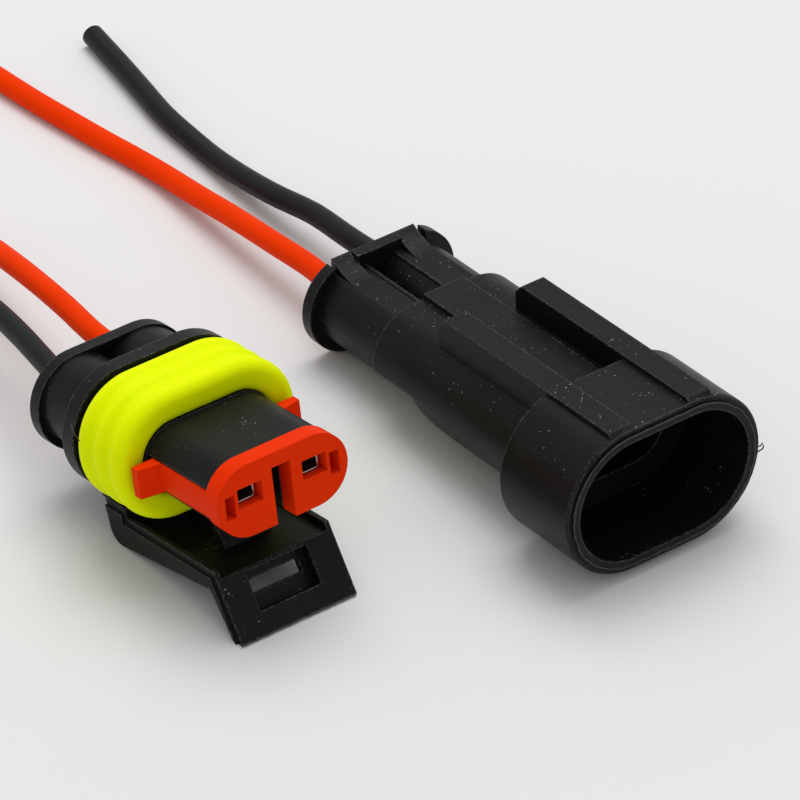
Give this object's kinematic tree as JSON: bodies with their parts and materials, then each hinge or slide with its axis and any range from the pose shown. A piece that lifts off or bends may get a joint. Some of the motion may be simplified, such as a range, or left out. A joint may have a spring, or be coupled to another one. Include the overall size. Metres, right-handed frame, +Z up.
{
  "type": "sealed automotive connector",
  "caption": "Sealed two-way wire-to-wire connector, uncoupled: plug half with ribbed seal, lock plate and latch beside the cap half with its rails, each on a red and a black lead.",
  "frame": {"origin": "centre of the box round both halves without their leads, on the table they lie on", "axes": "+X across the contacts, from the plug half to the cap half; +Y from the mating faces to the leads; +Z up"},
  "size_m": [0.045, 0.0859, 0.0153],
  "materials": {
    "housing": "satin black moulding with a fine grain",
    "black_plate": "satin black moulding",
    "red_plate": "smooth red-orange moulding",
    "interface_seal": "smooth yellow-green silicone",
    "wire_seal": "smooth yellow-green silicone",
    "terminal": "bright tin plate",
    "strands": "bare copper strands",
    "lead_red": "smooth red-orange insulation",
    "lead_black": "smooth dark grey insulation"
  },
  "bodies": {
    "connector": {"plug_housing": "housing", "interface_seal": "interface_seal", "plug_terminal_red": "terminal", "plug_terminal_black": "terminal", "plug_wire_seal_red": "wire_seal", "plug_wire_seal_black": "wire_seal", "plug_core_red": "strands", "plug_core_black": "strands", "plug_lead_red": "lead_red", "plug_lead_black": "lead_black", "cap_housing": "housing", "cap_terminal_red": "terminal", "cap_terminal_black": "terminal", "cap_wire_seal_red": "wire_seal", "cap_wire_seal_black": "wire_seal", "cap_core_red": "strands", "cap_core_black": "strands", "cap_lead_red": "lead_red", "cap_lead_black": "lead_black"},
    "latch": {"plug_latch": "housing"},
    "plug_lock": {"plug_lock_plate": "red_plate"},
    "cap_lock": {"cap_lock_plate": "black_plate"}
  },
  "joints": [
    {"name": "latch_flex", "type": "hinge", "parent": "connector", "child": "latch", "pos_m": [-0.01405, 0.00952, 0.00335], "axis": [1, 0, 0], "range_deg": [-2, 10], "stiffness_Nm_per_rad": 0.2},
    {"name": "plug_lock_slide", "type": "slide", "parent": "connector", "child": "plug_lock", "axis": [0, -0.9844, 0.1762], "range_m": [0, 0.002]},
    {"name": "cap_lock_slide", "type": "slide", "parent": "connector", "child": "cap_lock", "axis": [0, -0.997, 0.0774], "range_m": [0, 0.0015]}
  ]
}
